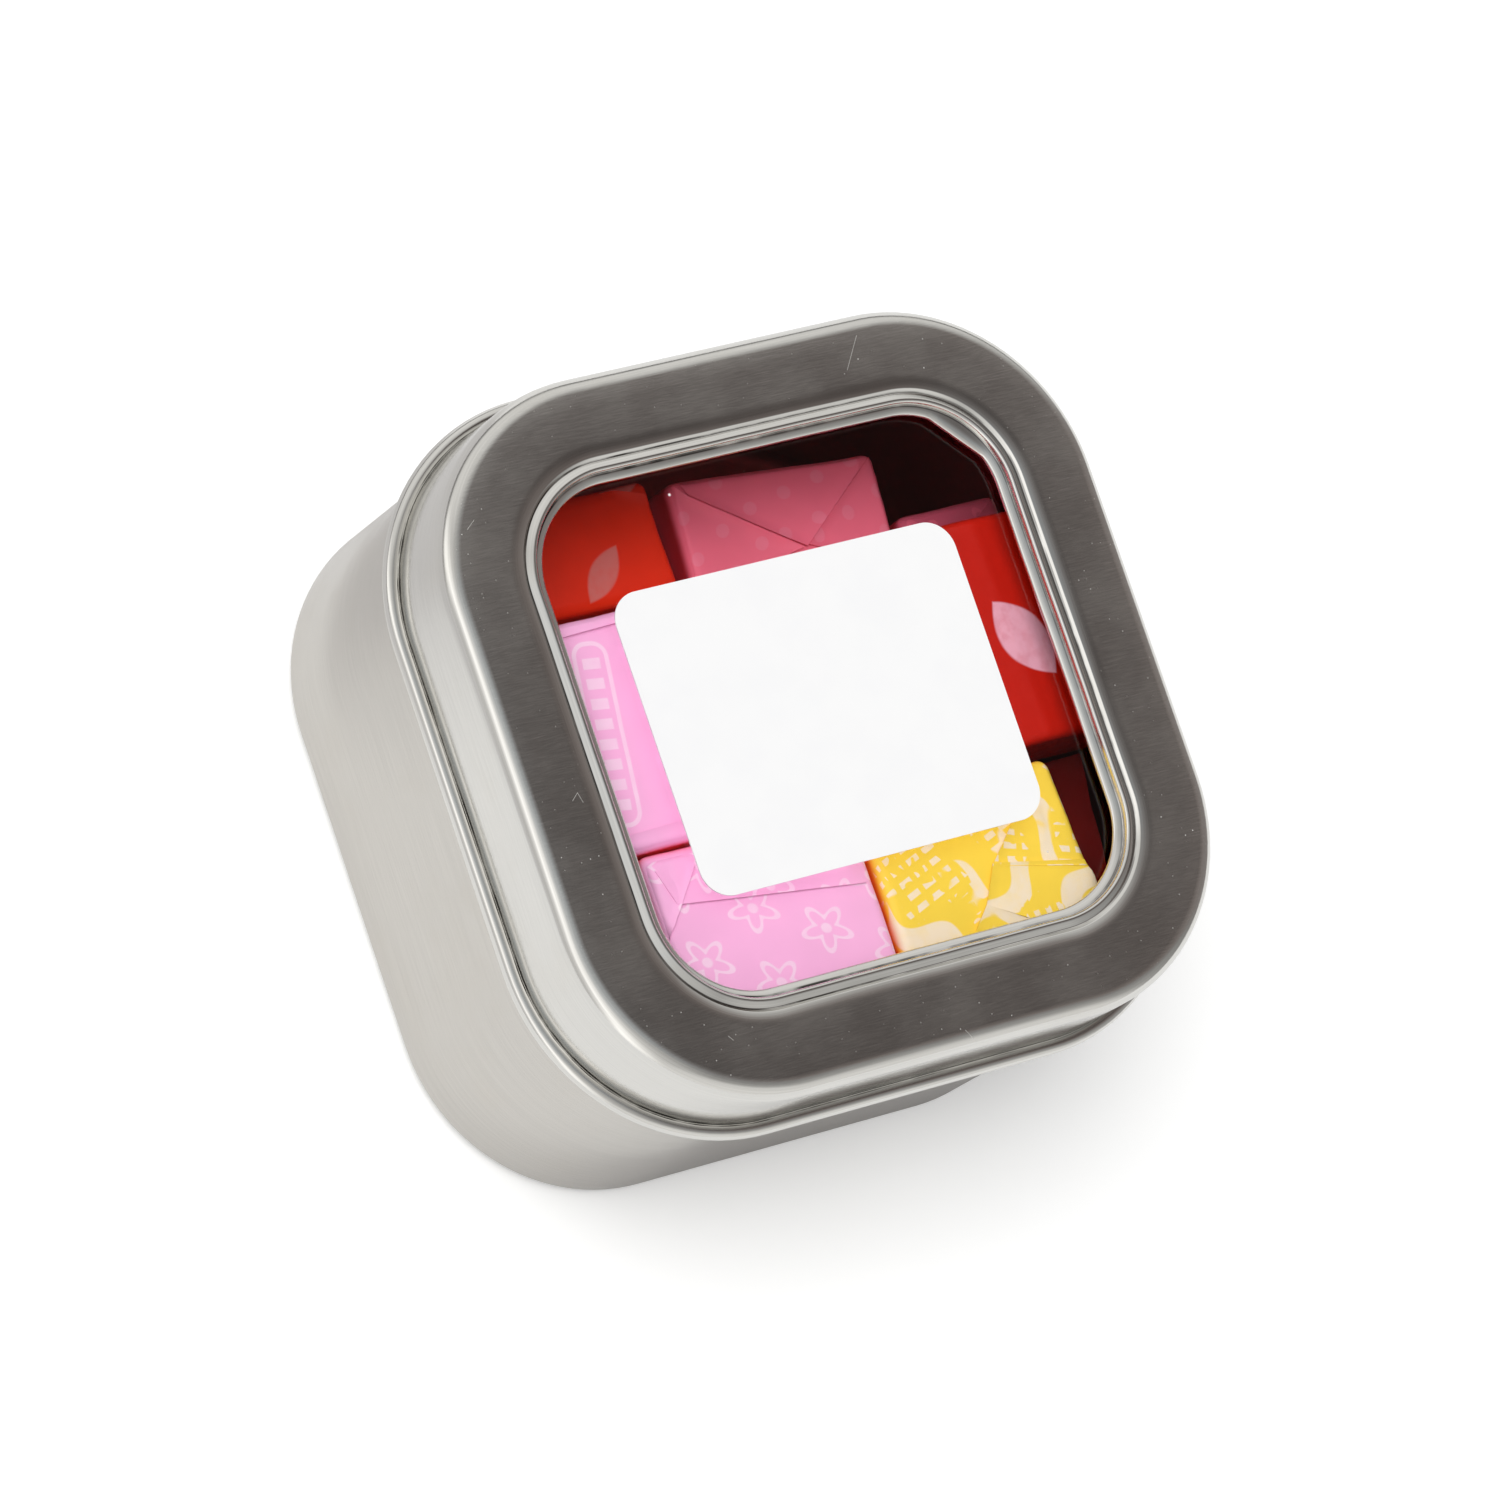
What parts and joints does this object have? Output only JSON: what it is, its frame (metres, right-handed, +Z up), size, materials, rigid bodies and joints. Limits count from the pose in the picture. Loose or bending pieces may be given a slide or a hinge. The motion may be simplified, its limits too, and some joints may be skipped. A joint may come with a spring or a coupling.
{
  "type": "window tin",
  "caption": "Small square metal tin with rounded corners and a slip-on lid whose clear window shows wrapped chews inside; the lid lifts straight off.",
  "frame": {"origin": "middle of the tin's base, on the surface that it stands on", "axes": "+Z up through the lid; -Y is the front, the side that faces the camera's lower edge in the picture, and +X is to the right"},
  "size_m": [0.06, 0.06, 0.0335],
  "materials": {
    "body_tinplate": "satin tinplate",
    "lid_tinplate": "brushed tinplate",
    "clear_sheet": "clear gloss",
    "label_paper": "matt white",
    "pink_wrapper": "waxed",
    "rose_wrapper": "waxed",
    "red_wrapper": "waxed",
    "yellow_wrapper": "waxed"
  },
  "bodies": {
    "tin": {"tin_body": "body_tinplate", "chew_front_left_low": "yellow_wrapper", "chew_front_left_mid": "red_wrapper", "chew_front_left_top": "pink_wrapper", "chew_front_right_low": "pink_wrapper", "chew_front_right_mid": "red_wrapper", "chew_front_right_top": "yellow_wrapper", "chew_left_low": "red_wrapper", "chew_left_mid": "red_wrapper", "chew_left_top": "pink_wrapper", "chew_right_outer": "pink_wrapper", "chew_right_inner": "yellow_wrapper", "chew_centre": "red_wrapper", "chew_right_top": "red_wrapper", "chew_back_left": "red_wrapper", "chew_back_right": "rose_wrapper"},
    "lid": {"lid_frame": "lid_tinplate", "window_pane": "clear_sheet", "window_label": "label_paper"}
  },
  "joints": [
    {"name": "lid_lift", "type": "slide", "parent": "tin", "child": "lid", "axis": [0, 0, 1], "range_m": [0, 0.04]}
  ]
}
